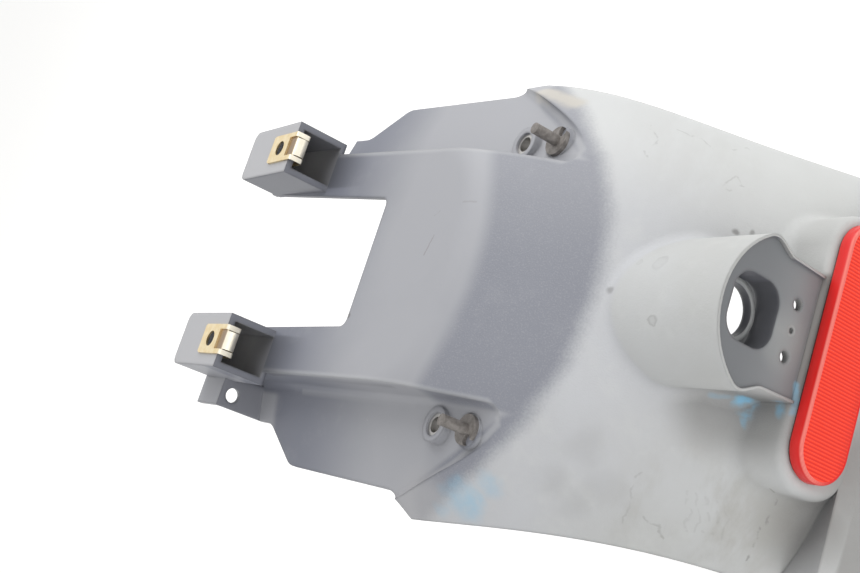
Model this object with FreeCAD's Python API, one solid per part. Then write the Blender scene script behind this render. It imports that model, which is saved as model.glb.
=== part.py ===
import FreeCAD, Part
import math
import os

# A scooter rear mudguard: one plastic moulding that bends round the rear wheel, from two front
# arms to a number-plate panel. Sizes are millimetres and degrees. +X points to the rear of the
# scooter, +Y to its right and +Z up. The origin lies midway between the two front clip-nut
# holes, on the plane of the two box tops.

os.makedirs("parts", exist_ok=True)
V = FreeCAD.Vector

# Shell: the wall all round, and how far the cutting shapes run past it
wall = 2.5
reach = 400.0
margin = 20.0
skirt_depth = 60.0

# Arched body, concentric with the wheel axle
axle_x = 24.0
axle_z = -246.0
crown_radius = 233.0
front_half_width = 101.0
rear_half_width = 84.0
front_edge_radius = 187.0
rear_edge_radius = 201.0
width_taper_start = 12.0
width_taper_end = 60.0
edge_taper_end = 36.0
body_end_angle = 71.0
arch_flatness = 2.8
arch_fullness = 1.15
arch_steps = 12
arch_front_run = 30.0
arch_station_angle = 12.0

# Flat deck and its two arms
deck_slope = 5.9
arm_front_z = -18.5
arm_length = 100.0
arm_front_gap = 70.8
notch_width = 60.0
notch_corner = 4.0
deck_bend_radius = 25.0

# Side channels that step down from the deck
ridge_front_y = 55.8
ridge_rear_y = 50.4
ridge_length = 186.0
channel_depth = 18.0
channel_fall_rear = 7.2
channel_fall_out = 12.9
channel_start = 22.0
channel_neck_y = 73.5
channel_edge_y = 90.0
channel_neck_length = 11.0
channel_flare_length = 19.0
wing_start = 136.0
wing_corner = 11.0
flare_corner = 8.0
pocket_rear_angle = 28.6
pocket_mid_x = 128.0
pocket_mid_y = 78.0
pocket_corner = 8.0
channel_floor_round = 4.0

# Hollow boxes that carry the clip nuts
box_length = 48.0
box_width = 25.5
box_pitch = 95.4
box_wall = 3.0
box_corner = 4.0
box_hole_diameter = 8.5
clip_setback = 12.0

# Spring clip nuts on the boxes
clip_thickness = 0.9
clip_width = 14.0
clip_length = 21.5
clip_slot = 2.4
clip_tongue = 9.0
clip_hole_diameter = 7.3
clip_barrel_diameter = 8.4
clip_barrel_length = 3.5
clip_thread_bore = 5.0

# Drilled lug beside the left box
lug_width = 13.0
lug_length = 20.0
lug_hole_diameter = 7.0
lug_hole_drop = 6.5

# Bolt bosses and collars in the channels
boss_x = 116.5
boss_y = 61.6
boss_diameter = 15.0
boss_rise = 2.5
boss_length = 12.0
collar_outer_diameter = 9.6
collar_bore = 6.6
collar_recess = 1.0
fit_clearance = 0.1

# Flanged locating pegs behind the bosses
peg_gap = 19.2
peg_seat_rise = 1.0
peg_seat_rim = 1.4
peg_seat_length = 5.0
peg_flange_diameter = 12.6
peg_flange_thickness = 1.8
peg_pin_diameter = 4.8
peg_pin_length = 13.5
peg_stub_length = 6.0
peg_notch_diameter = 4.6
peg_notch_inset = 1.5
peg_notch_angle = 55.0

# Lamp housing
lamp_face_x = 235.0
lamp_rim = 1.5
lamp_rim_thickness = 1.0
housing_blend = 6.0
hood_length = 85.0
hood_radius = 30.4
hood_centre_z = -103.3
hood_side_y = 27.0
hood_bump = 6.5
lamp_waist_y = 22.2
lamp_waist_z = -98.5
lamp_base_y = 21.5
lamp_plate_thickness = 3.0
lamp_pocket_width = 25.0
lamp_pocket_top = -76.5
lamp_pocket_bottom = -99.5
lamp_pocket_depth = 11.0
lamp_pocket_corner = 8.0
lamp_hole_diameter = 19.5
lamp_hole_z = -87.0
lamp_ring_diameter = 23.5
lamp_ring_rise = 1.5
lamp_screw_hole = 4.5
lamp_screw_pitch = 19.6
lamp_screw_z = -108.0
lamp_pip_hole = 2.2

# Reflector pad and reflector
pad_face_x = 237.0
pad_half_width = 53.0
pad_top_z = -116.6
pad_bottom_z = -153.0
pad_corner = 15.0
pad_face_round = 4.0
pad_blend = 8.0
reflector_length = 97.0
reflector_height = 25.0
reflector_centre_z = -130.0
reflector_back_thickness = 1.2
reflector_back_inset = 1.0
reflector_depth = 6.5
lens_skin = 2.0
lens_edge = 1.5
reflector_stud_pitch = 60.0
reflector_stud_diameter = 5.0
reflector_stud_length = 16.0
reflector_nut_across = 8.0
reflector_nut_height = 4.0

# Number-plate panel
panel_tilt = 20.0
panel_top_angle = 66.5
panel_width = 158.0
panel_length = 112.0
panel_head_depth = 27.0
panel_foot_depth = 12.0
panel_corner = 12.0
panel_lap = 4.0

box_front_x = clip_setback - box_length
box_outer_y = (box_pitch + box_width) / 2
box_inner_y = (box_pitch - box_width) / 2
peg_x = boss_x + peg_gap


def tan(angle):
    return math.tan(math.radians(angle))


def deck_z(x):
    return arm_front_z - (x - box_front_x) * tan(deck_slope)


def channel_z(x, y):
    start_z = arm_front_z - channel_depth
    run = x - box_front_x
    return start_z - run * tan(channel_fall_rear) - (abs(y) - box_outer_y) * tan(channel_fall_out)


boss_top_z = channel_z(boss_x, boss_y) + boss_rise
peg_seat_z = channel_z(peg_x, boss_y) + peg_seat_rise


# Falls smoothly from 1 at the start angle to 0 at the end angle
def ease(angle, start, end):
    share = min(max((angle - start) / (end - start), 0.0), 1.0)
    return 0.5 + 0.5 * math.cos(math.pi * share)


def arch_half_width(angle):
    share = ease(angle, width_taper_start, width_taper_end)
    return rear_half_width + (front_half_width - rear_half_width) * share


def arch_edge_radius(angle):
    share = ease(angle, width_taper_start, edge_taper_end)
    return rear_edge_radius + (front_edge_radius - rear_edge_radius) * share


def box_between(low, high):
    return Part.makeBox(high[0] - low[0], high[1] - low[1], high[2] - low[2], V(*low))


def prism(points, direction):
    return Part.Face(Part.makePolygon(points + points[:1])).extrude(direction)


def upright_edges(shape, places):
    return [e for e in shape.Edges if len(e.Vertexes) == 2
            and any(all(math.hypot(v.X - x, v.Y - y) < 0.01 for v in e.Vertexes) for x, y in places)]


def lengthwise_edges(shape, places):
    return [e for e in shape.Edges if len(e.Vertexes) == 2
            and any(all(math.hypot(v.Y - y, v.Z - z) < 0.01 for v in e.Vertexes) for y, z in places)]


# The edges that faces of the first kind share with faces of the second
def shared_edges(shape, is_first, is_second):
    found = []
    for face in filter(is_first, shape.Faces):
        for edge in face.Edges:
            if any(is_second(other) for other in shape.ancestorsOfType(edge, Part.Face)):
                found.append(edge)
    return found


def is_plane(face):
    return face.Surface.TypeId == "Part::GeomPlane"


# Whether a flat face stands square to a direction
def faces_along(face, direction):
    return is_plane(face) and abs(abs(face.Surface.Axis * direction) - 1) < 0.001


def is_moulded(face):
    return face.Surface.TypeId == "Part::GeomBSplineSurface"


# The edges of a shape that lie in one plane square to its length
def end_edges(shape, x):
    return [e for e in shape.Edges if all(abs(v.X - x) < 0.01 for v in e.Vertexes)]


def drill(start, direction, diameter, length):
    return Part.makeCylinder(diameter / 2, length, start, direction)


# A hole through a wall, run out past both faces by the wall's own thickness
def wall_hole(face, direction, diameter, thickness):
    return drill(face - direction * thickness, direction, diameter, 3 * thickness)


def rounded_block(low, high, radius):
    block = box_between(low, high)
    corners = [(y, z) for y in (low[1], high[1]) for z in (low[2], high[2])]
    return block.makeFillet(radius, lengthwise_edges(block, corners))


def on_side(shape, side):
    return shape if side > 0 else shape.mirror(V(0, 0, 0), V(0, 1, 0))


# One cross-section of the body: a flattened arch over a chord, or over a skirt below it
def arch_wire(base_x, angle, inset, skirt):
    half_width = arch_half_width(angle) - inset
    edge = arch_edge_radius(angle)
    rise = crown_radius - inset - edge
    lean = math.radians(angle)

    def place(y, radius):
        return V(base_x + radius * math.sin(lean), y, axle_z + radius * math.cos(lean))

    points = []
    for step in range(arch_steps + 1):
        turn = math.pi * step / arch_steps
        across = abs(math.cos(turn)) ** (2 / arch_flatness)
        y = math.copysign(half_width * across, math.cos(turn))
        points.append(place(y, edge + rise * abs(math.sin(turn)) ** (2 / arch_fullness)))
    curve = Part.BSplineCurve()
    shares = [step / arch_steps for step in range(arch_steps + 1)]
    curve.interpolate(Points=points, Parameters=shares)
    corners = [points[-1]]
    if skirt:
        corners += [place(-half_width, edge - skirt), place(half_width, edge - skirt)]
    corners.append(points[0])
    sides = [Part.makeLine(a, b) for a, b in zip(corners, corners[1:])]
    return Part.Wire([curve.toShape()] + sides)


# Sections run straight back to above the axle, then turn about it down to the lamp
def arched_body(inset, skirt, overrun):
    front_x = box_front_x - margin - overrun
    stations = [(front_x, 0.0), (axle_x - arch_front_run, 0.0), (axle_x, 0.0)]
    turns = math.ceil(body_end_angle / arch_station_angle)
    stations += [(axle_x, turn * arch_station_angle) for turn in range(1, turns)]
    stations.append((axle_x, body_end_angle + math.degrees(overrun / crown_radius)))
    wires = [arch_wire(x, angle, inset, skirt) for x, angle in stations]
    return Part.makeLoft(wires, True, False)


# All the space above the flat deck
def above_deck(inset):
    drop = inset / math.cos(math.radians(deck_slope))
    corners = [V(x, -reach, deck_z(x) - drop) for x in (-reach, reach)]
    corners += [V(x, -reach, reach) for x in (reach, -reach)]
    return prism(corners, V(0, 2 * reach, 0))


# The space above one side channel, bounded by the deck's ridge and the slanted pocket end
def channel_cutter(side, inset):
    rear_slope = -tan(pocket_rear_angle)
    ridge_slope = (ridge_rear_y - ridge_front_y) / ridge_length
    rear_x = pocket_mid_x + inset / math.sin(math.radians(pocket_rear_angle))

    def ridge_y(x):
        return ridge_front_y - inset + ridge_slope * (x - box_front_x)

    def rear_y(x):
        return pocket_mid_y + rear_slope * (x - rear_x)

    front_x = box_front_x - margin
    outer_x = box_front_x + wing_start - 2 * margin
    corner_x = outer_x + (rear_y(outer_x) - ridge_y(outer_x)) / (ridge_slope - rear_slope)
    plan = [(front_x, ridge_y(front_x)), (corner_x, ridge_y(corner_x))]
    plan += [(outer_x, rear_y(outer_x)), (front_x, rear_y(outer_x))]
    cutter = prism([V(x, y, channel_z(x, y) - inset) for x, y in plan], V(0, 0, reach))
    tip = upright_edges(cutter, [(corner_x, ridge_y(corner_x))])
    cutter = cutter.makeFillet(pocket_corner + inset, tip)

    def on_walls(vertex):
        gap = min(abs(vertex.Y - ridge_y(vertex.X)), abs(vertex.Y - rear_y(vertex.X)))
        return gap < 0.01 and abs(vertex.Z + inset - channel_z(vertex.X, vertex.Y)) < 0.01

    floor = [e for e in cutter.Edges if all(on_walls(v) for v in e.Vertexes)]
    return on_side(cutter.makeFillet(channel_floor_round + inset, floor), side)


# The guard's outline seen from above, as a tall block
def plan_trim():
    wing_x = box_front_x + wing_start
    channel_x = box_front_x + channel_start
    neck_x = channel_x + channel_neck_length
    notch_point = (box_front_x + arm_length, notch_width / 2)
    neck_point = (neck_x, channel_neck_y)
    flare_point = (neck_x + channel_flare_length, channel_edge_y)
    wing_point = (wing_x, channel_edge_y)
    half = [notch_point, (box_front_x, arm_front_gap / 2), (box_front_x, box_outer_y)]
    half += [(channel_x, box_outer_y), (channel_x, channel_neck_y), neck_point, flare_point]
    half += [wing_point, (wing_x, reach), (reach, reach)]
    outline = half + [(x, -y) for x, y in reversed(half)]
    trim = prism([V(x, y, -reach) for x, y in outline], V(0, 0, 2 * reach))
    for point, radius in ((notch_point, notch_corner), (neck_point, flare_corner),
                          (flare_point, flare_corner), (wing_point, wing_corner)):
        trim = trim.makeFillet(radius, upright_edges(trim, [point, (point[0], -point[1])]))
    return trim


# A hollow box on one arm, open at the rear, and what is cut out of it
def clip_box(side):
    rear_x = box_front_x + box_length
    low = [V(x, box_inner_y, deck_z(x) - wall) for x in (box_front_x, rear_x)]
    high = [V(x, box_inner_y, 0) for x in (rear_x, box_front_x)]
    block = prism(low + high, V(0, box_width, 0))
    front = [(box_front_x, box_inner_y), (box_front_x, box_outer_y)]
    block = block.makeFillet(box_corner, upright_edges(block, front))
    inner_x = box_front_x + box_wall
    inner_y = box_inner_y + box_wall
    floor = [V(x, inner_y, deck_z(x)) for x in (inner_x, rear_x + margin)]
    roof = [V(rear_x + margin, inner_y, -box_wall), V(inner_x, inner_y, -box_wall)]
    cavity = prism(floor + roof, V(0, box_width - 2 * box_wall, 0))
    bolt_hole = wall_hole(V(0, box_pitch / 2, 0), V(0, 0, -1), box_hole_diameter, box_wall)
    return on_side(block, side), on_side(cavity.fuse(bolt_hole), side)


def drilled_lug():
    outer_y = box_outer_y + lug_width
    web_x = box_front_x + lug_length
    top = deck_z(box_front_x)
    shelf = box_between((box_front_x, box_outer_y - wall, top - wall), (web_x, outer_y, top))
    foot = channel_z(web_x + wall, outer_y) - wall
    web = box_between((web_x, box_outer_y - wall, foot), (web_x + wall, outer_y, top))
    centre = V(web_x, box_outer_y + lug_width / 2, top - lug_hole_drop)
    hole = wall_hole(centre, V(1, 0, 0), lug_hole_diameter, wall)
    return on_side(shelf.fuse(web).cut(hole), -1)


# The lamp housing's section, a round hood over a waisted plate, run fore and aft
def housing_prism(offset, front_x, rear_x, base_z):
    edge_z = hood_centre_z + math.sqrt(hood_radius ** 2 - hood_side_y ** 2)
    crown = V(front_x, 0, hood_centre_z + hood_radius + offset)
    half = [(hood_side_y, edge_z), (lamp_waist_y, lamp_waist_z), (lamp_base_y, base_z)]
    half = [(y + offset, z) for y, z in half]
    outline = half + [(-y, z) for y, z in reversed(half)]
    corners = [V(front_x, y, z) for y, z in outline]
    sides = [Part.makeLine(a, b) for a, b in zip(corners, corners[1:])]
    wire = Part.Wire([Part.Arc(corners[-1], crown, corners[0]).toShape()] + sides)
    body = Part.Face(wire).extrude(V(rear_x - front_x, 0, 0))
    body = body.makeFillet(hood_bump, lengthwise_edges(body, [outline[0], outline[-1]]))
    return body.makeFillet(hood_bump, lengthwise_edges(body, [outline[1], outline[-2]]))


def lamp_pocket(offset):
    front_x = lamp_face_x - lamp_pocket_depth - offset
    half_width = lamp_pocket_width / 2 + offset
    low = (front_x, -half_width, lamp_pocket_bottom - offset)
    high = (lamp_face_x + margin, half_width, lamp_pocket_top + offset)
    return rounded_block(low, high, lamp_pocket_corner + offset)


def pad_prism(inset, front_x, rear_x):
    low = (front_x, inset - pad_half_width, pad_bottom_z + inset)
    high = (rear_x, pad_half_width - inset, pad_top_z - inset)
    return rounded_block(low, high, pad_corner - inset)


# The plate panel, upright at the origin, and its turn and move to the body's end
def panel_block(inset, extra_depth):
    half_width = panel_width / 2 - inset
    foot = inset - panel_length
    head = panel_lap - inset
    profile = [(-inset, head), (-inset, foot)]
    profile += [(-panel_foot_depth - extra_depth, foot), (-panel_head_depth - extra_depth, head)]
    block = prism([V(x, -half_width, z) for x, z in profile], V(0, 2 * half_width, 0))
    corners = [(y, foot) for y in (-half_width, half_width)]
    return block.makeFillet(panel_corner - inset, lengthwise_edges(block, corners))


def panel_place(shape):
    lean = math.radians(panel_top_angle)
    top = V(axle_x, 0, axle_z) + V(math.sin(lean), 0, math.cos(lean)) * crown_radius
    shape.rotate(V(0, 0, 0), V(0, 1, 0), -panel_tilt)
    shape.translate(top)
    return shape


# The boss and the peg seat in one channel, and the holes through them
def channel_fittings(side):
    added = []
    removed = []
    boss_top = V(boss_x, boss_y, boss_top_z)
    added.append(drill(boss_top, V(0, 0, -1), boss_diameter, boss_length))
    bore = collar_outer_diameter + 2 * fit_clearance
    removed.append(wall_hole(boss_top, V(0, 0, -1), bore, boss_length))
    seat = V(peg_x, boss_y, peg_seat_z)
    added.append(drill(seat, V(0, 0, -1), peg_flange_diameter + peg_seat_rim, peg_seat_length))
    removed.append(drill(seat, V(0, 0, 1), peg_flange_diameter + peg_seat_rim, margin))
    peg_hole = peg_pin_diameter + 2 * fit_clearance
    removed.append(drill(seat + V(0, 0, margin), V(0, 0, -1), peg_hole, 2 * margin))
    return [on_side(s, side) for s in added], [on_side(s, side) for s in removed]


def lamp_holes():
    back_x = lamp_face_x - lamp_pocket_depth - margin
    holes = [drill(V(back_x, 0, lamp_hole_z), V(1, 0, 0), lamp_hole_diameter, 2 * margin)]
    for side in (1, -1):
        place = V(lamp_face_x - margin / 2, side * lamp_screw_pitch / 2, lamp_screw_z)
        holes.append(drill(place, V(1, 0, 0), lamp_screw_hole, margin))
    pip = V(lamp_face_x - lamp_plate_thickness / 2, 0, lamp_screw_z)
    holes.append(drill(pip, V(1, 0, 0), lamp_pip_hole, margin))
    return holes


def reflector_places():
    return [V(pad_face_x, side * reflector_stud_pitch / 2, reflector_centre_z) for side in (1, -1)]


# The arched body with its flat deck, the bend between them and the two channels
def decked_body(inset, skirt, overrun):
    body = arched_body(inset, skirt, overrun).cut(above_deck(inset))
    slope = math.radians(deck_slope)
    deck_up = V(math.sin(slope), 0, math.cos(slope))
    bend = shared_edges(body, lambda f: faces_along(f, deck_up), is_moulded)
    body = body.makeFillet(deck_bend_radius - inset, bend)
    for side in (1, -1):
        body = body.cut(channel_cutter(side, inset))
    return body


# A shape that stands on the back of the body, with a round all along their outer seam
def blended(body, stand, radius):
    joined = body.fuse(stand)
    front_x = stand.BoundBox.XMin
    middle_radius = (crown_radius + rear_edge_radius) / 2

    def is_outside(vertex):
        return vertex.X > front_x and math.hypot(vertex.X - axle_x, vertex.Z - axle_z) > middle_radius

    seam = shared_edges(joined, lambda f: not is_moulded(f), is_moulded)
    return joined.makeFillet(radius, [e for e in seam if all(is_outside(v) for v in e.Vertexes)])


# The whole moulding: an outer solid less an inner one, then what stands on its wall
def mudguard():
    body = decked_body(0.0, 0.0, 0.0)
    void = decked_body(wall, skirt_depth, margin)
    inside_x = lamp_face_x - hood_length
    housing = housing_prism(wall, inside_x, lamp_face_x + lamp_rim, pad_top_z)
    pad = pad_prism(0.0, inside_x, pad_face_x)
    pad = pad.makeFillet(pad_face_round, end_edges(pad, pad_face_x))
    solid = blended(body, housing, housing_blend).fuse(blended(body, pad, pad_blend))
    solid = solid.fuse(panel_place(panel_block(0.0, 0.0)))
    inside_rim = wall - lamp_rim_thickness
    solid = solid.cut(housing_prism(inside_rim, lamp_face_x, lamp_face_x + margin, pad_top_z))
    solid = solid.cut(lamp_pocket(0.0))
    hood_back_x = lamp_face_x - lamp_plate_thickness
    void = void.fuse(housing_prism(0.0, inside_x, hood_back_x, pad_top_z - 2 * wall))
    void = void.fuse(pad_prism(wall, inside_x, pad_face_x - wall))
    void = void.fuse(panel_place(panel_block(wall, margin)))
    void = void.cut(lamp_pocket(wall))
    shell = solid.cut(void).common(plan_trim())
    ring_foot = V(lamp_face_x - lamp_pocket_depth - wall, 0, lamp_hole_z)
    shell = shell.fuse(drill(ring_foot, V(1, 0, 0), lamp_ring_diameter, wall + lamp_ring_rise))
    for side in (1, -1):
        walls, cavity = clip_box(side)
        added, removed = channel_fittings(side)
        shell = shell.fuse([walls] + added).cut([cavity] + removed)
    shell = shell.fuse(drilled_lug())
    stud_hole = reflector_stud_diameter + 2 * fit_clearance
    holes = [wall_hole(p, V(-1, 0, 0), stud_hole, wall) for p in reflector_places()]
    return shell.cut(holes + lamp_holes())


def clip_nut(side):
    rear_x = box_front_x + box_length
    bend_x = rear_x + fit_clearance
    inner = box_wall / 2
    outer = inner + clip_thickness
    front_x = bend_x - clip_length
    centre_z = -box_wall / 2

    def u_profile(radius, front):
        start = V(front, 0, centre_z + radius)
        top = V(bend_x, 0, centre_z + radius)
        bend = V(bend_x + radius, 0, centre_z)
        low = V(bend_x, 0, centre_z - radius)
        end = V(front, 0, centre_z - radius)
        edges = [Part.makeLine(start, top), Part.Arc(top, bend, low).toShape()]
        edges += [Part.makeLine(low, end), Part.makeLine(end, start)]
        return Part.Face(Part.Wire(edges)).extrude(V(0, clip_width, 0))

    sheet = u_profile(outer, front_x).cut(u_profile(inner, front_x - margin))
    slot = box_between((rear_x - clip_slot, (clip_width - clip_tongue) / 2, 0),
                       (rear_x, (clip_width + clip_tongue) / 2, margin))
    sheet = sheet.cut(slot)
    sheet.translate(V(0, (box_pitch - clip_width) / 2, 0))
    foot = V(0, box_pitch / 2, centre_z - outer)
    barrel = drill(foot, V(0, 0, -1), clip_barrel_diameter, clip_barrel_length)
    thread = drill(foot + V(0, 0, clip_thickness), V(0, 0, -1), clip_thread_bore, margin)
    plate_hole = drill(V(0, box_pitch / 2, 0), V(0, 0, 1), clip_hole_diameter, margin)
    return on_side(sheet.fuse(barrel).cut([thread, plate_hole]), side)


def collar(side):
    start = V(boss_x, boss_y, boss_top_z - collar_recess)
    sleeve = drill(start, V(0, 0, -1), collar_outer_diameter, boss_length - collar_recess)
    return on_side(sleeve.cut(drill(start, V(0, 0, -1), collar_bore, boss_length)), side)


def locating_peg(side):
    seat = V(peg_x, boss_y, peg_seat_z)
    peg = drill(seat, V(0, 0, 1), peg_flange_diameter, peg_flange_thickness)
    foot = seat - V(0, 0, peg_stub_length)
    pin_length = peg_stub_length + peg_pin_length
    peg = peg.fuse(drill(foot, V(0, 0, 1), peg_pin_diameter, pin_length))
    lean = math.radians(peg_notch_angle)
    notch_radius = peg_flange_diameter / 2 - peg_notch_inset
    notch = seat + V(math.cos(lean), math.sin(lean), 0) * notch_radius
    return on_side(peg.cut(drill(notch, V(0, 0, 1), peg_notch_diameter, peg_flange_thickness)), side)


# A bar with round ends, standing on the reflector pad
def stadium(length, height, front_x, depth):
    half = (length - height) / 2
    low_z = reflector_centre_z - height / 2
    middle = box_between((front_x, -half, low_z), (front_x + depth, half, low_z + height))
    ends = [V(front_x, y, reflector_centre_z) for y in (-half, half)]
    rounds = [drill(end, V(1, 0, 0), height, depth) for end in ends]
    return middle.fuse(rounds).removeSplitter()


def reflector_back():
    length = reflector_length - 2 * reflector_back_inset
    height = reflector_height - 2 * reflector_back_inset
    plate = stadium(length, height, pad_face_x, reflector_back_thickness)
    sockets = [wall_hole(p, V(1, 0, 0), reflector_stud_diameter, reflector_back_thickness)
               for p in reflector_places()]
    return plate.cut(sockets)


def reflector_lens():
    start = pad_face_x + reflector_back_thickness
    depth = reflector_depth - reflector_back_thickness
    cap = stadium(reflector_length, reflector_height, start, depth)
    cap = cap.makeChamfer(lens_edge, end_edges(cap, start + depth))
    inner_length = reflector_length - 2 * lens_skin
    inner_height = reflector_height - 2 * lens_skin
    return cap.cut(stadium(inner_length, inner_height, start, depth - lens_skin))


def reflector_studs():
    start = V(reflector_back_thickness, 0, 0)
    length = reflector_back_thickness + reflector_stud_length
    studs = [drill(place + start, V(-1, 0, 0), reflector_stud_diameter, length)
             for place in reflector_places()]
    return Part.makeCompound(studs)


def reflector_nuts():
    nuts = []
    radius = reflector_nut_across / math.sqrt(3)
    for place in reflector_places():
        seat = place - V(wall, 0, 0)
        angles = [math.tau * corner / 6 for corner in range(6)]
        ring = [seat + V(0, math.cos(angle), math.sin(angle)) * radius for angle in angles]
        nut = prism(ring, V(-reflector_nut_height, 0, 0))
        bore = reflector_stud_diameter + 2 * fit_clearance
        nuts.append(nut.cut(drill(seat, V(-1, 0, 0), bore, reflector_nut_height)))
    return Part.makeCompound(nuts)


pieces = {
    "mudguard": mudguard(),
    "clip_nut_left": clip_nut(-1),
    "clip_nut_right": clip_nut(1),
    "mount_collar_left": collar(-1),
    "mount_collar_right": collar(1),
    "locating_peg_left": locating_peg(-1),
    "locating_peg_right": locating_peg(1),
    "reflector_back": reflector_back(),
    "reflector_lens": reflector_lens(),
    "reflector_studs": reflector_studs(),
    "reflector_nuts": reflector_nuts(),
}
for name, shape in pieces.items():
    shape.exportStep("parts/" + name + ".step")
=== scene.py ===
import bmesh
import bpy
import math
from mathutils import Matrix, Vector


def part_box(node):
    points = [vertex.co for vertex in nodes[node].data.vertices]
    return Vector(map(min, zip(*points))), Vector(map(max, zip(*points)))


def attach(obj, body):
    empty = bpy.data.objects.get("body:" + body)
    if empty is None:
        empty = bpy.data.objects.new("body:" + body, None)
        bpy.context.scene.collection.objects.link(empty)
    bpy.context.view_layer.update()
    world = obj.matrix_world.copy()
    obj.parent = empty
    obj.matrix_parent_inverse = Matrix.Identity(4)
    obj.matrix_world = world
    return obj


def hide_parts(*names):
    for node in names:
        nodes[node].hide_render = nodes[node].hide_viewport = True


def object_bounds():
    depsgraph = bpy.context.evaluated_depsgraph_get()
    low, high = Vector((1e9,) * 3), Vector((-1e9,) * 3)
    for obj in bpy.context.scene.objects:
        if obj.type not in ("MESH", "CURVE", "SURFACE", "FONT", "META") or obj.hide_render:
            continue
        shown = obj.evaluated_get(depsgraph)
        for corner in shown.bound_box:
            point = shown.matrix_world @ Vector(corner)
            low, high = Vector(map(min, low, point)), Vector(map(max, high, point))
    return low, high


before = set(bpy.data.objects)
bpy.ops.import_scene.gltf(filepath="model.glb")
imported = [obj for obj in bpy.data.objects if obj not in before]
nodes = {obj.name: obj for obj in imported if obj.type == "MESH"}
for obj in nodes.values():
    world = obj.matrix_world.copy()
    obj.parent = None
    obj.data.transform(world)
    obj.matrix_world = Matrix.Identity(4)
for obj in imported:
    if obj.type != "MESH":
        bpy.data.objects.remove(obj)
solids_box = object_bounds()


# The mudguard is one injection moulding of dark blue-grey plastic, about 2.5 mm thick.
# The front, which the bodywork covers, is satin and keeps its colour. Behind a curved line
# the grained skin has been bleached by the sun, stained by run-off and marked by handling.
MM = 0.001
AXLE_X = 24 * MM
AXLE_Z = -246 * MM
CROWN_RADIUS = 233 * MM


class Signal:
    """A value on a material's node tree. Arithmetic on it adds Math nodes."""

    def __init__(self, finish, socket):
        self.finish = finish
        self.socket = socket

    def math(self, operation, *others):
        inputs = {place: value for place, value in enumerate((self,) + others)}
        return self.finish.node("Math", {"operation": operation}, inputs)

    def __add__(self, other):
        return self.math("ADD", other)

    def __sub__(self, other):
        return self.math("SUBTRACT", other)

    def __rsub__(self, other):
        return self.finish.node("Math", {"operation": "SUBTRACT"}, {0: other, 1: self})

    def __mul__(self, other):
        return self.math("MULTIPLY", other)

    def __truediv__(self, other):
        return self.math("DIVIDE", other)

    def __pow__(self, other):
        return self.math("POWER", other)

    def __abs__(self):
        return self.math("ABSOLUTE")

    __radd__ = __add__
    __rmul__ = __mul__

    def either(self, other):
        return self.math("MAXIMUM", other)

    def rise(self, low, high):
        """0 below low, 1 above high and a smooth rise between; it falls where low is above high."""
        settings = {"interpolation_type": "SMOOTHSTEP"}
        return self.finish.node("MapRange", settings, {"Value": self, "From Min": low, "From Max": high})


def strongest(marks):
    """The greatest of several values at each place."""
    greatest = marks[0]
    for mark in marks[1:]:
        greatest = greatest.either(mark)
    return greatest


class Nodes:
    """A node tree that is written by naming a node's type, its settings and its inputs."""

    def __init__(self, tree):
        self.tree = tree

    def node(self, kind, settings, inputs, output=0):
        made = self.tree.nodes.new("ShaderNode" + kind)
        for name, value in settings.items():
            setattr(made, name, value)
        for name, value in inputs.items():
            if isinstance(value, Signal):
                self.tree.links.new(value.socket, made.inputs[name])
            else:
                made.inputs[name].default_value = value
        return Signal(self, made.outputs[output])

    def seen_white(self):
        """1 for the rays that show a background: from the camera, a mirror or clear plastic."""
        kinds = ("Is Camera Ray", "Is Glossy Ray", "Is Transmission Ray")
        return strongest([self.node("LightPath", {}, {}, kind) for kind in kinds])


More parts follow.
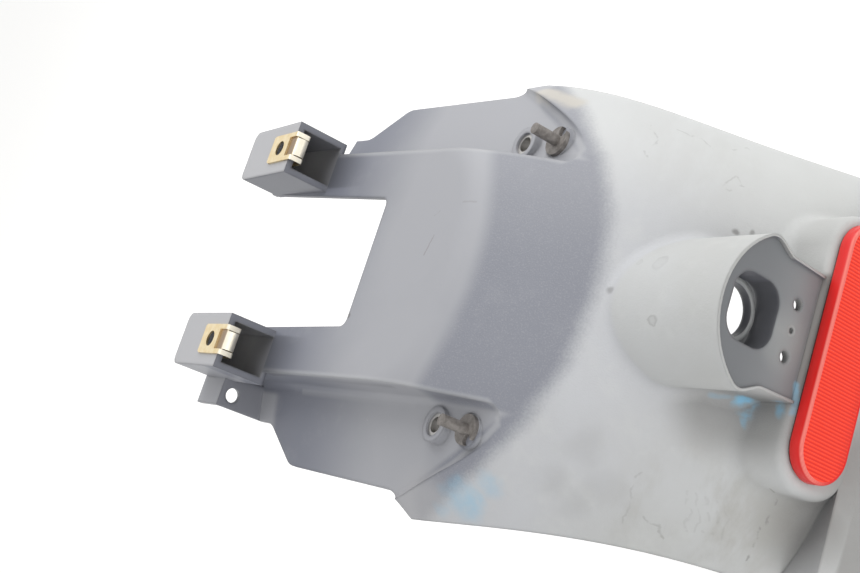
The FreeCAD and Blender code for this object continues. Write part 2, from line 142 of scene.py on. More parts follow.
class Finish(Nodes):
    """One procedural material, with its own position to build masks from."""

    def __init__(self, name):
        self.material = bpy.data.materials.new(name)
        self.material.use_nodes = True
        super().__init__(self.material.node_tree)
        self.shader = self.tree.nodes["Principled BSDF"]
        self.place = self.node("TexCoord", {}, {}, "Object")
        self.x, self.y, self.z = self.split(self.place)

    def split(self, vector):
        parts = self.node("SeparateXYZ", {}, {0: vector}).socket.node
        return [Signal(self, socket) for socket in parts.outputs]

    def noise(self, scale, detail=3.0, roughness=0.55, place=None):
        inputs = {"Vector": place or self.place, "Scale": scale, "Detail": detail, "Roughness": roughness}
        return self.node("TexNoise", {}, inputs, "Fac")

    def mix(self, share, first, second):
        return self.node("Mix", {"data_type": "RGBA"}, {0: share, 6: first, 7: second}, 2)

    def vector(self, operation, *values, output="Vector"):
        inputs = {place: value for place, value in enumerate(values)}
        return self.node("VectorMath", {"operation": operation}, inputs, output)

    def blurred(self, scale, amount):
        """The position, pushed about by a noise so that marks made from it get uneven edges."""
        push = self.node("TexNoise", {}, {"Vector": self.place, "Scale": scale, "Detail": 3.0}, "Color")
        push = self.vector("MULTIPLY_ADD", push, (amount,) * 3, (-amount / 2,) * 3)
        return self.vector("ADD", self.place, push)

    def distance(self, centre, place=None):
        """Millimetres from a point that is given in millimetres."""
        centre = [value * MM for value in centre]
        return self.vector("DISTANCE", place or self.place, centre, output="Value") / MM

    def stroke(self, start, end, width, place=None):
        """1 along a thin mark between two points in millimetres, 0 beside it."""
        start, end = Vector(start) * MM, Vector(end) * MM
        along = end - start
        offset = self.vector("SUBTRACT", place or self.place, start)
        share = self.vector("DOT_PRODUCT", offset, along / along.length_squared, output="Value")
        share = self.node("Clamp", {}, {"Value": share})
        nearest = self.node("VectorMath", {"operation": "SCALE"}, {0: along, "Scale": share})
        return (self.vector("DISTANCE", offset, nearest, output="Value") / MM).rise(width, width * 0.2)

    def strokes(self, points, width, place=None):
        """The marks that join a row of points."""
        return strongest([self.stroke(start, end, width, place) for start, end in zip(points, points[1:])])

    def bump(self, height, strength, depth, normal):
        inputs = {"Height": height, "Strength": strength, "Distance": depth, "Normal": normal}
        return self.node("Bump", {}, inputs)

    def finish(self, **links):
        for name, value in links.items():
            socket = self.shader.inputs[name.replace("_", " ")]
            if isinstance(value, Signal):
                self.tree.links.new(value.socket, socket)
            else:
                socket.default_value = value
        return self.material

    def put_on(self, *names):
        for name in names:
            nodes[name].data.materials.clear()
            nodes[name].data.materials.append(self.material)


guard = Finish("faded_guard_plastic")
normal_x, normal_y, normal_z = guard.split(guard.node("NewGeometry", {}, {}, "True Normal"))
side = abs(guard.y)
across = guard.y * guard.y
back = guard.x - AXLE_X
up = guard.z - AXLE_Z
lean = back.math("ARCTAN2", up)
hood = ((back * back + up * up) ** 0.5).rise(CROWN_RADIUS + 1 * MM, CROWN_RADIUS + 4 * MM)
hood_side = hood * (normal_y * guard.y).rise(1 * MM, 6 * MM)
outward = (normal_x * back + normal_z * up + normal_y * guard.y * 0.6).rise(-20 * MM, 30 * MM)
outward = outward.either(hood_side)

# The sun's line lies furthest back on the crown and runs forward towards both edges.
BLEACH_LEAN = math.radians(40)
wander = (guard.noise(40, 2) - 0.5) * 0.03 + (guard.noise(1100, 2) - 0.5) * 0.022
fade_line = BLEACH_LEAN - across * 19.2 - across * across * 698 + wander
past_line = lean - fade_line
bleached = past_line.rise(-0.026, 0.028) * outward

# The lamp's end wall and recess were behind the lamp, so they kept their dark satin colour.
LAMP_WALL_X = 235 * MM
LAMP_WALL_HALF = 30 * MM
LAMP_WALL_FOOT = -116.6 * MM
POCKET_X = 222 * MM
POCKET_HALF = 13 * MM
POCKET_FOOT = -100 * MM
POCKET_TOP = -76 * MM
SHARP = 0.2 * MM
plate = normal_x.rise(0.85, 0.95) * guard.x.rise(LAMP_WALL_X - 1.5 * MM, LAMP_WALL_X - 0.5 * MM)
plate = plate * guard.x.rise(LAMP_WALL_X + 1.0 * MM, LAMP_WALL_X + 0.4 * MM)
plate = plate * side.rise(LAMP_WALL_HALF, LAMP_WALL_HALF - SHARP)
plate = plate * guard.z.rise(LAMP_WALL_FOOT - SHARP, LAMP_WALL_FOOT + SHARP)
pocket = guard.x.rise(POCKET_X - 0.5 * MM, POCKET_X + 0.5 * MM)
pocket = pocket * guard.x.rise(LAMP_WALL_X + 0.3 * MM, LAMP_WALL_X - SHARP)
pocket = pocket * side.rise(POCKET_HALF, POCKET_HALF - 0.3 * MM)
pocket = pocket * guard.z.rise(POCKET_FOOT - SHARP, POCKET_FOOT + SHARP)
pocket = pocket * guard.z.rise(POCKET_TOP + SHARP, POCKET_TOP - SHARP)
kept_dark = plate.either(pocket)
bleached = bleached * (1 - kept_dark)

# The mould was grained from just ahead of the sun's line, but hardly at all in the channels.
GRAIN_LEAN = math.radians(27.2)
CHANNEL_Y = 52.5 * MM
CHANNEL_END = 232.5 * MM
CHANNEL_SLANT = 1.48
slanted = guard.x + side * CHANNEL_SLANT
in_channel = side.rise(CHANNEL_Y - 1 * MM, CHANNEL_Y + 1 * MM)
in_channel = in_channel * slanted.rise(CHANNEL_END + 2.5 * MM, CHANNEL_END - 2.5 * MM)
grained = (lean - GRAIN_LEAN + across.math("MINIMUM", 0.0027) * 21).rise(-0.012, 0.03)
grained = grained * (1 - kept_dark) * (1 - in_channel * 0.85)
grain = guard.noise(1500, 2, 0.6)

# The satin front is dark at the arms and paler towards the middle of the deck, partly a film of dust and
# partly a painted sheen. The box tops, which face up, and the lug, the far channel and the far side behind
# the crease, which face the light, are also painted lighter as lit.
FRESH_PLASTIC = (0.195, 0.205, 0.245, 1)
PALE_PLASTIC = (0.375, 0.380, 0.405, 1)
BOX_TOP_HIGHLIGHT = (0.46, 0.46, 0.475, 1)
WING_TIP_DUST = (0.43, 0.43, 0.445, 1)
GRAIN_TIPS = (0.40, 0.405, 0.43, 1)
WING_TIP = (112, -95, -64)
mottle = guard.noise(22, 4)
cloud = guard.noise(14, 4, 0.6)
fine_cloud = guard.noise(55, 5, 0.65)
box_top = guard.z.rise(-12 * MM, -6 * MM) * normal_z.rise(0.7, 0.9)
lug = guard.x.rise(2 * MM, -4 * MM) * guard.y.rise(-58.5 * MM, -61.5 * MM)
far_channel = guard.x.rise(0, 60 * MM) * guard.y.rise(52 * MM, 56 * MM) * (1 - grained * 0.5)
dust_and_sheen = guard.x.rise(20 * MM, 88 * MM) * (1 - grained * (0.74 - guard.y.rise(0, 50 * MM) * 0.24))
dust_and_sheen = strongest([dust_and_sheen, box_top * 1.25, lug, far_channel * 1.15]) * (0.75 + mottle * 0.5)
fresh = guard.mix(dust_and_sheen, FRESH_PLASTIC, PALE_PLASTIC)
fresh = guard.mix(fine_cloud.rise(0.52, 0.72) * 0.15, fresh, PALE_PLASTIC)

# A pale line is painted along the rounded edge between deck and channel on both sides, round to the
# wing's tip: a painted highlight where the edge catches the light.
RIDGE_HIGHLIGHT = (0.48, 0.485, 0.50, 1)
mirrored = guard.node("CombineXYZ", {}, {"X": guard.x, "Y": side, "Z": guard.z})
ridge_line = [
    (5, 54.6, -22.8), (91, 52.1, -31.6), (111.5, 51.5, -35.9), (146.8, 50.5, -53.9), (150.3, 53.8, -57.2),
    (150.1, 57.4, -59.3), (144.6, 62.8, -59.8), (127.3, 75.5, -59.8), (99.5, 91.4, -59.4),
]
ridge_highlight = guard.strokes(ridge_line[:2], 2.6, mirrored).either(guard.strokes(ridge_line[1:], 2.4, mirrored))
ridge_highlight = ridge_highlight * (0.6 + mottle * 0.6)
fresh = guard.mix(ridge_highlight * 0.6, fresh, RIDGE_HIGHLIGHT)
fresh = guard.mix(grain.rise(0.50, 0.68) * grained * 0.24, fresh, GRAIN_TIPS)

# The near step's wall gets a painted shade under its edge and a painted highlight along its rounded foot.
STEP_SHADE = (0.09, 0.092, 0.105, 1)
STEP_FOOT_HIGHLIGHT = (0.42, 0.425, 0.45, 1)
under_edge = guard.stroke((14, -58, -30), (100, -53.5, -39), 4.0)
fresh = guard.mix(under_edge * 0.35, fresh, STEP_SHADE)
foot_highlight = guard.stroke((20, -57, -42.8), (100, -55, -52.4), 2.2)
fresh = guard.mix(foot_highlight * (0.5 + mottle * 0.5) * 0.45, fresh, STEP_FOOT_HIGHLIGHT)

# The boxes are open at the back. Inside, the plastic is painted paler towards the front wall, painted light
# that stands in for light bounced into the box, and the arm behind each mouth gets a painted shadow.
BOX_INSIDE = (0.20, 0.202, 0.214, 1)
BOX_FRONT_LIT = (0.62, 0.62, 0.64, 1)
MOUTH_SHADE = (0.075, 0.078, 0.09, 1)
BOX_END_X = 12 * MM
DECK_SLOPE = 0.1033
above_deck = guard.z + guard.x * DECK_SLOPE + 22.2 * MM
hollow = side.rise(37.2 * MM, 38.0 * MM) * side.rise(58.2 * MM, 57.4 * MM)
hollow = hollow * guard.z.rise(-2.9 * MM, -3.1 * MM) * guard.x.rise(BOX_END_X + SHARP, BOX_END_X - 0.1 * MM)
hollow = hollow * guard.x.rise(-34.7 * MM, -34.0 * MM) * above_deck.rise(-1.5 * MM, -0.8 * MM)
fresh = guard.mix(hollow, fresh, guard.mix(guard.x.rise(8 * MM, -24 * MM), BOX_INSIDE, BOX_FRONT_LIT))
mouth = side.rise(36.0 * MM, 37.5 * MM) * guard.x.rise(44 * MM, 14 * MM)
mouth = mouth * guard.x.rise(BOX_END_X - 0.1 * MM, BOX_END_X + SHARP) * (1 - hollow)
mouth = mouth * guard.z.rise(-18 * MM, -20 * MM) * guard.z.rise(-30 * MM, -29 * MM)
fresh = guard.mix(mouth * 0.55, fresh, MOUTH_SHADE)
fresh = guard.mix(guard.distance(WING_TIP).rise(24, 8) * (0.5 + mottle * 0.5), fresh, WING_TIP_DUST)
# The upward box tops also get a painted highlight.
fresh = guard.mix(box_top * 0.8, fresh, BOX_TOP_HIGHLIGHT)

# Behind the lamp the plastic is slate grey and darker towards the top, with a painted highlight round the
# screws.
SLATE_TOP = (0.155, 0.164, 0.174, 1)
SLATE_FOOT = (0.25, 0.264, 0.272, 1)
SLATE_HIGHLIGHT = (0.295, 0.31, 0.31, 1)
DIMPLE_RIM = (0.36, 0.375, 0.37, 1)
POCKET_WALL_SHADE = (0.060, 0.063, 0.073, 1)
POCKET_FLOOR = (0.24, 0.245, 0.25, 1)
POCKET_RING = (0.40, 0.41, 0.41, 1)
plate_highlight = guard.distance((235, -4, -107)).rise(16, 4) * (0.4 + fine_cloud)
dimple = guard.distance((235, 0, -108)).rise(2.4, 1.5)
pocket_floor = pocket * normal_x.rise(0.8, 0.95) * guard.x.rise(227.5 * MM, 226.5 * MM)
ring = pocket * guard.distance((225.5, 0, -87)).rise(12.2, 11.9) * guard.x.rise(224.7 * MM, 225.0 * MM)
slate = guard.mix(guard.z.rise(-85 * MM, -118 * MM), SLATE_TOP, SLATE_FOOT)
slate = guard.mix(plate_highlight, slate, SLATE_HIGHLIGHT)
slate = guard.mix(dimple, slate, DIMPLE_RIM)
fresh = guard.mix(plate, fresh, slate)
# In the recess the walls are painted near black as shade; the floor and the ring's outward face are paler
# grey.
fresh = guard.mix(pocket * (1 - plate) * 0.8, fresh, POCKET_WALL_SHADE)
fresh = guard.mix(pocket_floor * 0.9, fresh, POCKET_FLOOR)
fresh = guard.mix(ring * normal_x.rise(0.6, 0.9), fresh, POCKET_RING)

# The bleached skin is cloudy, bluish near the line and whitest on the far side, partly painted light as that
# side faces the light. Grey is laid on as a painted shadow under the hood and as painted shade on the pad's
# far end and on the ledge below the lamp wall, and the panel and the skin below the pad are darker grey.
# The corners that an occlusion mask finds are darker still: dirt where nothing wipes, and painted shade.
FADED_PLASTIC = (0.545, 0.555, 0.555, 1)
FADED_WARM = (0.49, 0.495, 0.48, 1)
FADED_BLUE = (0.535, 0.545, 0.580, 1)
FADED_WHITE = (0.63, 0.64, 0.63, 1)
FADED_CLOUD = (0.61, 0.62, 0.61, 1)
GRIME_AND_SHADE = (0.25, 0.245, 0.235, 1)
CORNER_DIRT_AND_SHADE = (0.13, 0.13, 0.13, 1)
PANEL_LEAN = math.radians(67.2)
PANEL_EDGE = math.radians(0.4)
faded = guard.mix(cloud.rise(0.38, 0.62) * 0.6, FADED_PLASTIC, FADED_WARM)
faded = guard.mix(past_line.rise(0.40, 0.05) * (1 - hood) * 0.6, faded, FADED_BLUE)
faded = guard.mix(guard.y.rise(20 * MM, 75 * MM) * 0.7, faded, FADED_WHITE)
faded = guard.mix(fine_cloud.rise(0.5, 0.7) * 0.3, faded, FADED_CLOUD)
grime_and_shade = strongest([
    guard.distance((226, 44, -116)).rise(17, 5) * 0.3,
    guard.distance((232, -40, -158)).rise(34, 10),
    lean.rise(PANEL_LEAN - PANEL_EDGE, PANEL_LEAN + PANEL_EDGE),
    guard.stroke((210, -33, -107), (231, -31, -120), 21.0) * 0.85,
    guard.distance((226, -58, -151)).rise(27, 6) * 1.2,
    guard.stroke((236, -23, -118), (236, 23, -118), 4.0) * 1.4,
])
faded = guard.mix(grime_and_shade * (0.5 + cloud * 0.5), faded, GRIME_AND_SHADE)
colour = guard.mix(bleached, fresh, faded)
# An occlusion mask darkens the corners: dirt where nothing wipes, and painted shade.
open_air = guard.node("AmbientOcclusion", {"samples": 4, "only_local": True}, {"Distance": 20 * MM}, "AO")
colour = guard.mix(open_air.rise(0.85, 0.35) * (0.2 + bleached * 0.55), colour, CORNER_DIRT_AND_SHADE)

# Water that ran off the crown towards both edges has left soft stains and thin wavering tide lines.
STAIN = (0.38, 0.37, 0.34, 1)
TIDE_WIDTH = 0.75
RIPPLES = 5
wavering = guard.blurred(150, 6.5 * MM)
near_wing = guard.distance((200, -72, -126)).rise(46, 12)
far_wing = guard.distance((180, 64, -92)).rise(42, 14)
wet = (near_wing * 1.25).either(far_wing * 0.25).either(0.10) * bleached
run_off = guard.node("CombineXYZ", {}, {"X": lean * 0.18, "Y": guard.y * 0.42, "Z": guard.z * 0.05})
stain = guard.noise(44, 6, 0.65, run_off).rise(0.42, 0.62)
colour = guard.mix(stain * wet * 0.5, colour, STAIN)
tide_lines = [
    (0.45, [(190, -60, -98), (187, -66, -100), (184, -73, -103), (181, -78, -106)]),
    (0.55, [(188, -72, -107), (188, -75, -111), (191, -75, -115), (189, -79, -120)]),
    (1.00, [(224, -53, -129), (220, -57, -139), (215, -65, -139), (213, -69, -141), (206, -78, -145)]),
    (0.35, [(161, 76, -80), (168, 70, -81), (168, 66, -78)]),
    (0.40, [(167, 78, -89), (176, 76, -96), (182, 71, -99), (185, 78, -111)]),
    (0.40, [(165, 64, -75), (172, 59, -77)]),
    (0.40, [(193, 55, -97), (195, 53, -99), (196, 58, -104), (193, 61, -102), (193, 55, -97)]),
]
ripple = [Vector((201, -61, -113)), Vector((200, -67, -118)), Vector((196, -74, -122))]
ripple_pitch = Vector((2.1, 0.4, -2.7))
tide_lines += [(0.25, [point + ripple_pitch * turn for point in ripple]) for turn in range(RIPPLES)]
tide = strongest([guard.strokes(points, TIDE_WIDTH, wavering) * share for share, points in tide_lines])
colour = guard.mix(tide * (0.3 + fine_cloud) * bleached * 0.8, colour, GRIME_AND_SHADE)

# Specks lie beside the hood and on an arm, dried drops on the hood and faint smudges on the near wing.
SPECK = (0.16, 0.155, 0.15, 1)
ragged = guard.blurred(110, 4 * MM)
smudged = guard.blurred(160, 5 * MM)
patchy = guard.blurred(70, 16 * MM)
specks = guard.distance((64.5, -25.1, -28.9)).rise(1.6, 0.8) * 0.7
for centre, outer, inner, share in (((203, 36.7, -100.9), 2.0, 0.6, 0.7),
                                    ((206.1, 38, -105.4), 1.6, 0.5, 0.6),
                                    ((178.4, 1.5, -70.5), 2.2, 0.4, 0.5)):
    specks = specks.either(guard.distance(centre, ragged).rise(outer, inner) * share)
for centre, radius in (((198.6, 12.7, -73), 3.6), ((204.3, -9.9, -72), 2.4), ((186.9, 13.7, -73.5), 1.5)):
    reach = guard.distance(centre, smudged) / radius
    dried = reach.rise(1.15, 0.85) - reach.rise(0.85, 0.45) * 0.6
    specks = specks.either(dried * (0.1 + fine_cloud.rise(0.4, 0.65) * 0.2))
for centre, radius in (((178, -56, -82), 13), ((165, -71, -79), 11),
                       ((170, -76, -89), 12), ((179, -69, -92), 14)):
    specks = specks.either(guard.distance(centre, patchy).rise(radius, 1) * 0.13)
colour = guard.mix(specks, colour, SPECK)

# Handling has scored the deck, scratched the near channel and worn the far edge to a pale brown.
SCORE = (0.20, 0.17, 0.17, 1)
SCRATCH = (0.62, 0.62, 0.63, 1)
WORN_EDGE = (0.55, 0.52, 0.465, 1)
SCRATCH_WIDTH = 0.22
shaky = guard.blurred(300, 1.2 * MM)
dark_scores = strongest([
    guard.stroke((102.8, 3.1, -32.8), (105, 12, -33.1), 0.5, shaky),
    guard.stroke((116.7, 26.4, -34.4), (123.1, 26.8, -36.3), 0.6, shaky) * 0.5,
    guard.stroke((100.8, 20.6, -32.6), (103.7, 22.8, -32.9), 0.4, shaky) * 0.5,
])
colour = guard.mix(dark_scores * 0.5, colour, SCORE)
scratch_ends = [
    ((69.7, -64.2, -50.7), (80, -70, -52)), ((61.4, -75.5, -52.3), (58, -82, -52)),
    ((83.4, -69.6, -53.7), (96, -77, -55)), ((153, -23, -52), (158, -27, -56)),
]
scratches = strongest([guard.stroke(start, end, SCRATCH_WIDTH, shaky) for start, end in scratch_ends])
colour = guard.mix(scratches * 0.3, colour, SCRATCH)
worn = guard.stroke((109, 90.5, -60), (131, 83, -62.5), 7.0, guard.blurred(90, 6 * MM))
colour = guard.mix(worn * 0.85, colour, WORN_EDGE)

# Blue chalk has rubbed off on the near wing, beside the hood and along the foot of the lamp wall.
CHALK_BLUE = (0.24, 0.52, 0.72, 1)
chalk_dust = guard.noise(45, 4, 0.6).rise(0.36, 0.66)
loose = guard.blurred(120, 11 * MM)
chalk = guard.stroke((209.4, -26.1, -104.2), (216, -26, -110.5), 1.7, ragged) * 0.5
chalk = chalk.either(guard.stroke((235.2, -16.8, -117.3), (235.9, -26.5, -117.9), 1.9, ragged) * 0.9)
for centre, radius, share in (((131, -87, -68), 13, 0.8), ((144, -79, -68.5), 8, 0.35),
                              ((120, -92.5, -68), 7, 0.6), ((218.7, -26.8, -112.3), 5.5, 1.5),
                              ((218, -30, -114.5), 4.2, 1.5), ((217, -32.8, -116), 2.8, 1.2),
                              ((231, -26.3, -116.4), 4.2, 1.2)):
    chalk = chalk.either(guard.distance(centre, loose).rise(radius, radius * 0.25) * share)
chalk = (chalk * (0.35 + chalk_dust * 0.65)).math("MINIMUM", 1.0)
colour = guard.mix(chalk * 0.9, colour, CHALK_BLUE)

# The inside never saw the sun. The grain is a fine bump, and the moulded edges are slightly round.
INNER_PLASTIC = (0.17, 0.175, 0.20, 1)
GRAIN_DEPTH = 0.4 * MM
EDGE_RADIUS = 2 * MM
colour = guard.mix((1 - outward) * 0.8, colour, INNER_PLASTIC)
height = grain * 0.6 + guard.noise(520, 2) * 0.4
height = height * (0.12 + grained * 0.88) - scratches * 0.5
soft_edges = guard.node("Bevel", {"samples": 4}, {"Radius": EDGE_RADIUS})
guard.finish(
    Base_Color=colour,
    Roughness=0.40 + grained * 0.14 + mottle * 0.1 + chalk * 0.2,
    Normal=guard.bump(height, 0.35, GRAIN_DEPTH, soft_edges),
)
guard.put_on("mudguard")


# The two clip nuts are spring steel, stamped, folded and plated in yellow zinc. A pierced plate lies
# on the box top, two straps fold down over the box's edge, and a sprung tongue stands between them.
CLIP_THICKNESS = 0.9 * MM
CLIP_HALF_WIDTH = 7.0 * MM
CLIP_HOLE_RADIUS = 3.65 * MM
CLIP_FRONT = -9.4 * MM
CLIP_WINDOW = 7.8 * MM
CLIP_FOLD = 13.9 * MM
FOLD_RADIUS = 1.0 * MM
UPPER_FOLD_Z = -0.1 * MM
LOWER_FOLD_Z = -5.2 * MM
LEG_END = (-4 * MM, -6.2 * MM)
STRAP_WIDTH = 2.3 * MM
SLIT = 0.45 * MM
TONGUE_CENTRE = (CLIP_FOLD - 2.6 * MM, -3.4 * MM)
TONGUE_RADIUS = 4.2 * MM
TOE_CENTRE = (CLIP_FOLD - 0.4 * MM, -4.9 * MM)
TOE_RADIUS = 1.3 * MM
SEAT_Z = 0.1 * MM
SEAT_LAP = 0.2 * MM
HOLE_STEPS = 48
BEND_STEPS = 8
ZINC_DEEP = (0.80, 0.64, 0.36, 1)
ZINC_PALE = (0.86, 0.74, 0.50, 1)
ZINC_HIGHLIGHT = (0.95, 0.91, 0.80, 1)
ZINC_SHADE = (0.32, 0.235, 0.16, 1)
clip = Finish("yellow_zinc_steel")


def strip(mesh, path, half_y, middle_y):
    """A strip of sheet that follows a path of x and z, with its thickness on the path's right."""
    rows = []
    for place, (x, z) in enumerate(path):
        before, after = path[max(place - 1, 0)], path[min(place + 1, len(path) - 1)]
        run = Vector((after[0] - before[0], after[1] - before[1])).normalized() * CLIP_THICKNESS
        far_x, far_z = x + run.y, z - run.x
        corners = [(x, -half_y, z), (x, half_y, z), (far_x, half_y, far_z), (far_x, -half_y, far_z)]
        rows.append([mesh.verts.new((px, middle_y + py, pz)) for px, py, pz in corners])
    for first, second in zip(rows, rows[1:]):
        for corner in range(4):
            after = (corner + 1) % 4
            mesh.faces.new((first[corner], first[after], second[after], second[corner]))
    mesh.faces.new(rows[0])
    mesh.faces.new(rows[-1])


def bend(centre, radius, start, end):
    """Points on an arc of x and z, from one angle in degrees to another."""
    points = []
    for step in range(BEND_STEPS + 1):
        turn = math.radians(start + (end - start) * step / BEND_STEPS)
        points.append((centre[0] + radius * math.cos(turn), centre[1] + radius * math.sin(turn)))
    return points


def clip_spring(name, middle_y):
    mesh = bmesh.new()
    loops = []
    for z in (0.0, CLIP_THICKNESS):
        hole, border = [], []
        for step in range(HOLE_STEPS):
            turn = 2 * math.pi * (step + 0.5) / HOLE_STEPS
            along, aside = math.cos(turn), math.sin(turn)
            end = CLIP_WINDOW if along > 0 else -CLIP_FRONT
            stretch = min(end / max(abs(along), 1e-6), CLIP_HALF_WIDTH / max(abs(aside), 1e-6))
            hole.append(mesh.verts.new((along * CLIP_HOLE_RADIUS, middle_y + aside * CLIP_HOLE_RADIUS, z)))
            border.append(mesh.verts.new((along * stretch, middle_y + aside * stretch, z)))
        loops += [hole, border]
    for first, second in ((0, 1), (1, 3), (3, 2), (2, 0)):
        one, other = loops[first], loops[second]
        for step in range(HOLE_STEPS):
            after = (step + 1) % HOLE_STEPS
            mesh.faces.new((one[step], one[after], other[after], other[step]))
    fold = bend((CLIP_FOLD, UPPER_FOLD_Z), FOLD_RADIUS, 90, 0)
    fold += bend((CLIP_FOLD, LOWER_FOLD_Z), FOLD_RADIUS, 0, -90)
    straps = [(CLIP_WINDOW, CLIP_THICKNESS)] + fold + [LEG_END]
    for hand in (1, -1):
        strip(mesh, straps, STRAP_WIDTH / 2, middle_y + hand * (CLIP_HALF_WIDTH - STRAP_WIDTH / 2))
    tongue = bend(TONGUE_CENTRE, TONGUE_RADIUS, 52, -30) + bend(TOE_CENTRE, TOE_RADIUS, -30, -90) + [LEG_END]
    strip(mesh, tongue, CLIP_HALF_WIDTH - STRAP_WIDTH - SLIT, middle_y)
    seat = [(CLIP_WINDOW - SEAT_LAP, SEAT_Z), (CLIP_FOLD, SEAT_Z)]
    strip(mesh, seat, CLIP_HALF_WIDTH - STRAP_WIDTH, middle_y)
    bmesh.ops.recalc_face_normals(mesh, faces=mesh.faces)
    data = bpy.data.meshes.new(name)
    mesh.to_mesh(data)
    data.shade_smooth()
    data.set_sharp_from_angle(angle=math.radians(35))
    data.materials.append(clip.material)
    spring = bpy.data.objects.new(name, data)
    bpy.context.collection.objects.link(spring)
    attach(spring, "root")
    return spring


clip_tone = clip.noise(260, 4)
# The fold is painted near white as a highlight, and the sheet seated in the window is painted dark brown as
# shade under the straps' edges.
fold_highlight = clip.x.rise(CLIP_FOLD - 0.3 * MM, CLIP_FOLD + 0.3 * MM)
window_shade = clip.x.rise(CLIP_WINDOW, CLIP_WINDOW + 0.1 * MM)
window_shade = window_shade * clip.z.rise(0.4 * MM, 0.3 * MM) * clip.z.rise(-0.2 * MM, -0.1 * MM)
clip_colour = clip.mix(clip_tone.rise(0.35, 0.7), ZINC_DEEP, ZINC_PALE)
clip_colour = clip.mix(fold_highlight * 0.8, clip_colour, ZINC_HIGHLIGHT)
clip_colour = clip.mix(window_shade * (1 - fold_highlight), clip_colour, ZINC_SHADE)
clip.finish(Base_Color=clip_colour, Metallic=1.0, Roughness=0.26 + clip_tone * 0.16)
for side_name in ("left", "right"):
    clip_low, clip_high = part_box("clip_nut_" + side_name)
    spring = clip_spring("clip_spring_" + side_name, (clip_low[1] + clip_high[1]) / 2)
    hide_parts("clip_nut_" + side_name)


# The collars are turned steel sleeves pressed into the channel bosses, where they keep the bolts
# from crushing the plastic. The reflector's studs and nuts are of the same plain steel.
STEEL_DULL = (0.42, 0.41, 0.40, 1)
STEEL_BRIGHT = (0.60, 0.59, 0.57, 1)
steel = Finish("turned_steel")
steel_tone = steel.noise(700, 3)
steel.finish(Base_Color=steel.mix(steel_tone, STEEL_DULL, STEEL_BRIGHT),
             Metallic=1.0, Roughness=0.3 + steel_tone * 0.2)
steel.put_on("mount_collar_left", "mount_collar_right", "reflector_studs", "reflector_nuts")


# The locating pegs are dull brown-grey metal. Each has a flange that seats in the channel floor,
# and stands up beside its boss.
PEG_DARK = (0.15, 0.137, 0.126, 1)
PEG_PALE = (0.27, 0.25, 0.235, 1)
peg = Finish("dull_peg")
peg_tone = peg.noise(420, 5)
peg.finish(Base_Color=peg.mix(peg_tone.rise(0.3, 0.75), PEG_DARK, PEG_PALE),
           Metallic=0.35, Roughness=0.42 + peg_tone * 0.2)
peg.put_on("locating_peg_left", "locating_peg_right")


# The reflector is a red cap of clear plastic with a bevelled rim, welded to a flat base.
# Its face is moulded in fine prism ribs that run across the bar and throw the light back.
RIB_PITCH = 1.3 * MM
RIB_DEPTH = 0.16 * MM
RIB_STEPS = 8
RIM_WIDTH = 1.1 * MM
FACE_DROP = 0.08 * MM
CELLS_PER_METRE = 900
ROUND_STEPS = 40
RED_DEEP = (0.62, 0.012, 0.008, 1)
RED_BRIGHT = (0.95, 0.060, 0.022, 1)
RED_CELL = (0.66, 0.018, 0.012, 1)
RED_LOW = (0.55, 0.014, 0.010, 1)
RED_SIDE = (0.72, 0.022, 0.020, 1)
RED_RIM_HIGHLIGHT = (0.98, 0.36, 0.30, 1)
GLOW_SIDE = (0.02, 0.0005, 0.0003, 1)
GLOW_FACE = (0.18, 0.010, 0.003, 1)
BASE_DARK = (0.07, 0.012, 0.010, 1)
BASE_PALE = (0.12, 0.02, 0.016, 1)
lens_low, lens_high = (Vector(corner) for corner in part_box("reflector_lens"))
lens_middle = (lens_low + lens_high) / 2
lens_radius = (lens_high.z - lens_low.z) / 2
lens_half = (lens_high.y - lens_low.y) / 2 - lens_radius


def bar_outline(inset, x):
    """The bar's outline, two half rounds joined by straight sides, drawn in by an inset."""
    points = []
    radius = lens_radius - inset
    for step in range(2 * ROUND_STEPS + 2):
        end = 1 if step <= ROUND_STEPS else -1
        turn = math.pi * (step if end == 1 else step - 1) / ROUND_STEPS
        y = lens_middle.y + end * lens_half + math.sin(turn) * radius
        points.append((x, y, lens_middle.z + math.cos(turn) * radius))
    return points


cap_mesh = bmesh.new()
rim_steps = [
    (2.0, lens_low.x), (0.2, lens_low.x), (0.0, lens_low.x + 0.2 * MM), (0.0, lens_high.x - 1.1 * MM),
    (0.15, lens_high.x - 0.55 * MM), (0.5, lens_high.x - 0.15 * MM), (0.85, lens_high.x), (1.1, lens_high.x),
    (1.35, lens_high.x - 0.15 * MM), (1.6, lens_high.x - 0.6 * MM),
]
rings = [[cap_mesh.verts.new(point) for point in bar_outline(inset * MM, x)] for inset, x in rim_steps]
for inner, outer in zip(rings, rings[1:]):
    for place in range(len(inner)):
        after = (place + 1) % len(inner)
        cap_mesh.faces.new((inner[place], outer[place], outer[after], inner[after]))
face_radius = lens_radius - RIM_WIDTH
face_reach = lens_half + face_radius
rib_steps = int(2 * face_reach / RIB_PITCH * RIB_STEPS)
edge = None
for step in range(rib_steps + 1):
    y = -face_reach + 2 * face_reach * step / rib_steps
    beyond = max(0.0, abs(y) - lens_half)
    half_width = math.sqrt(max(0.0, face_radius ** 2 - beyond ** 2))
    x = lens_high.x - FACE_DROP - RIB_DEPTH * abs(math.sin(math.pi * y / RIB_PITCH))
    ends = [cap_mesh.verts.new((x, lens_middle.y + y, lens_middle.z + z)) for z in (-half_width, half_width)]
    if edge:
        cap_mesh.faces.new((edge[0], ends[0], ends[1], edge[1]))
    edge = ends
bmesh.ops.recalc_face_normals(cap_mesh, faces=cap_mesh.faces)
cap_data = bpy.data.meshes.new("reflector_cap")
cap_mesh.to_mesh(cap_data)
cap_data.shade_smooth()
cap = bpy.data.objects.new("reflector_cap", cap_data)
bpy.context.collection.objects.link(cap)
lens = Finish("red_reflector")
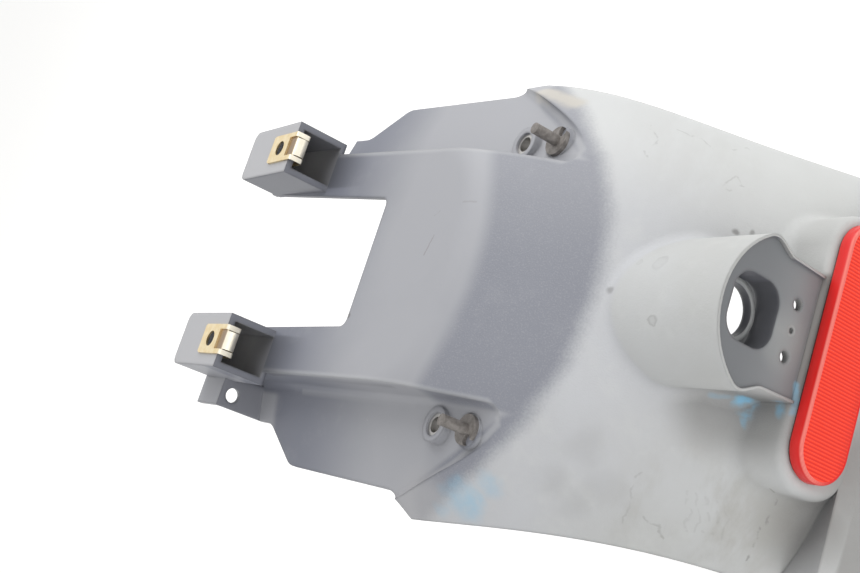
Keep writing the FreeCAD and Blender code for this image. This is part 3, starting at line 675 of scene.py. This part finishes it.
rib_height = (lens.x - (lens_high.x - FACE_DROP - RIB_DEPTH)) / RIB_DEPTH
cell = abs((lens.z * CELLS_PER_METRE).math("FRACT") - 0.5)
beyond_half = (abs(lens.y - lens_middle.y) - lens_half).either(0.0)
off_middle = lens.z - lens_middle.z
bar_distance = (beyond_half * beyond_half + off_middle * off_middle) ** 0.5
face = bar_distance.rise(lens_radius - 1.25 * MM, lens_radius - 1.45 * MM)
face = face * lens.x.rise(lens_high.x - 1 * MM, lens_high.x - 0.7 * MM)
# The upper side of the rim gets a painted pink highlight; the bar is darker towards the bottom.
rim_highlight = lens.x.rise(lens_high.x - 1.2 * MM, lens_high.x - 0.4 * MM) * (1 - face)
rim_highlight = rim_highlight * off_middle.rise(-8 * MM, 5 * MM)
red = lens.mix(rib_height.rise(0.0, 0.8), RED_DEEP, RED_BRIGHT)
red = lens.mix(cell.rise(0.30, 0.46) * 0.45, red, RED_CELL)
red = lens.mix(off_middle.rise(-6 * MM, -11 * MM) * 0.5, red, RED_LOW)
red = lens.mix(face, RED_SIDE, red)
red = lens.mix(rim_highlight * (0.45 + cell * 0.3), red, RED_RIM_HIGHLIGHT)
# The cap is given a faint red glow, strongest on the face: painted light that stands in for the light its
# prisms throw back.
lens.finish(Base_Color=red, Roughness=0.34 + lens.noise(400) * 0.08, Specular_IOR_Level=0.15,
            Coat_Weight=0.15, Coat_Roughness=0.08, Emission_Strength=1.0,
            Emission_Color=lens.mix(face, GLOW_SIDE, GLOW_FACE))
cap_data.materials.append(lens.material)
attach(cap, "root")
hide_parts("reflector_lens")
base = Finish("dark_reflector_base")
base.finish(Base_Color=base.mix(base.noise(300), BASE_DARK, BASE_PALE), Roughness=0.45)
base.put_on("reflector_back")


# The stage is a pale floor just under the part's lowest edge, in an even white surround,
# with a large soft light above the right side and a weaker one behind the left.
FLOOR_SIZE = 12.0
FLOOR_GAP = 1 * MM
PAPER = (0.80, 0.80, 0.795, 1)
PAPER_UNSEEN = (0, 0, 0, 1)
PAPER_SEEN = (0.42, 0.418, 0.41, 1)
AMBIENT = 0.62
SOFT_BOX_SIZE = 1.4
KEY_POWER = 13
FILL_POWER = 7
low, high = solids_box
middle = (Vector(low) + Vector(high)) / 2
floor_mesh = bpy.data.meshes.new("floor")
half = FLOOR_SIZE / 2
corners = [(-half, -half, 0), (half, -half, 0), (half, half, 0), (-half, half, 0)]
floor_mesh.from_pydata(corners, [], [(0, 1, 2, 3)])
floor = bpy.data.objects.new("floor", floor_mesh)
floor.location.z = low[2] - FLOOR_GAP
bpy.context.collection.objects.link(floor)
paper = Finish("pale_floor")
paper.finish(Base_Color=PAPER, Roughness=0.9, Emission_Strength=1.0,
             Emission_Color=paper.mix(paper.seen_white(), PAPER_UNSEEN, PAPER_SEEN))
floor_mesh.materials.append(paper.material)

world = bpy.data.worlds.new("studio")
world.use_nodes = True
bpy.context.scene.world = world
sky = world.node_tree.nodes["Background"]
sky.inputs["Color"].default_value = (1.0, 1.0, 1.0, 1)
air = Nodes(world.node_tree)
air.tree.links.new((AMBIENT + air.seen_white() * (1 - AMBIENT)).socket, sky.inputs["Strength"])


def soft_box(name, offset, power):
    """A square light that stands off from the part's middle and faces it."""
    light = bpy.data.lights.new(name, "AREA")
    light.shape = "RECTANGLE"
    light.size = SOFT_BOX_SIZE
    light.size_y = SOFT_BOX_SIZE
    light.energy = power
    lamp = bpy.data.objects.new(name, light)
    lamp.location = middle + Vector(offset)
    lamp.rotation_euler = (-Vector(offset)).to_track_quat("-Z", "Y").to_euler()
    bpy.context.collection.objects.link(lamp)


soft_box("key", (-0.1, 1.0, 0.9), KEY_POWER)
soft_box("fill", (1.2, -0.6, 0.4), FILL_POWER)

# The camera is turned so that the scooter's right is up in the picture, as in the photograph.
PICTURE_WIDTH = 860
FOCAL_PIXELS = 1300
SENSOR_WIDTH = 36.0
CAMERA_PLACE = (551.4 * MM, -123.0 * MM, 223.0 * MM)
CAMERA_BACKWARD = (0.842, -0.216, 0.494)
CAMERA_UPWARD = (0.019, 0.927, 0.374)
camera_data = bpy.data.cameras.new("camera")
camera_data.sensor_fit = "HORIZONTAL"
camera_data.sensor_width = SENSOR_WIDTH
camera_data.lens = SENSOR_WIDTH * FOCAL_PIXELS / PICTURE_WIDTH
camera_data.clip_start = 10 * MM
camera = bpy.data.objects.new("camera", camera_data)
backward = Vector(CAMERA_BACKWARD).normalized()
sideways = Vector(CAMERA_UPWARD).cross(backward).normalized()
upward = backward.cross(sideways)
turn = Matrix((sideways, upward, backward)).transposed().to_4x4()
camera.matrix_world = Matrix.Translation(Vector(CAMERA_PLACE)) @ turn
bpy.context.collection.objects.link(camera)
bpy.context.scene.camera = camera
bpy.context.scene.view_settings.view_transform = "Standard"
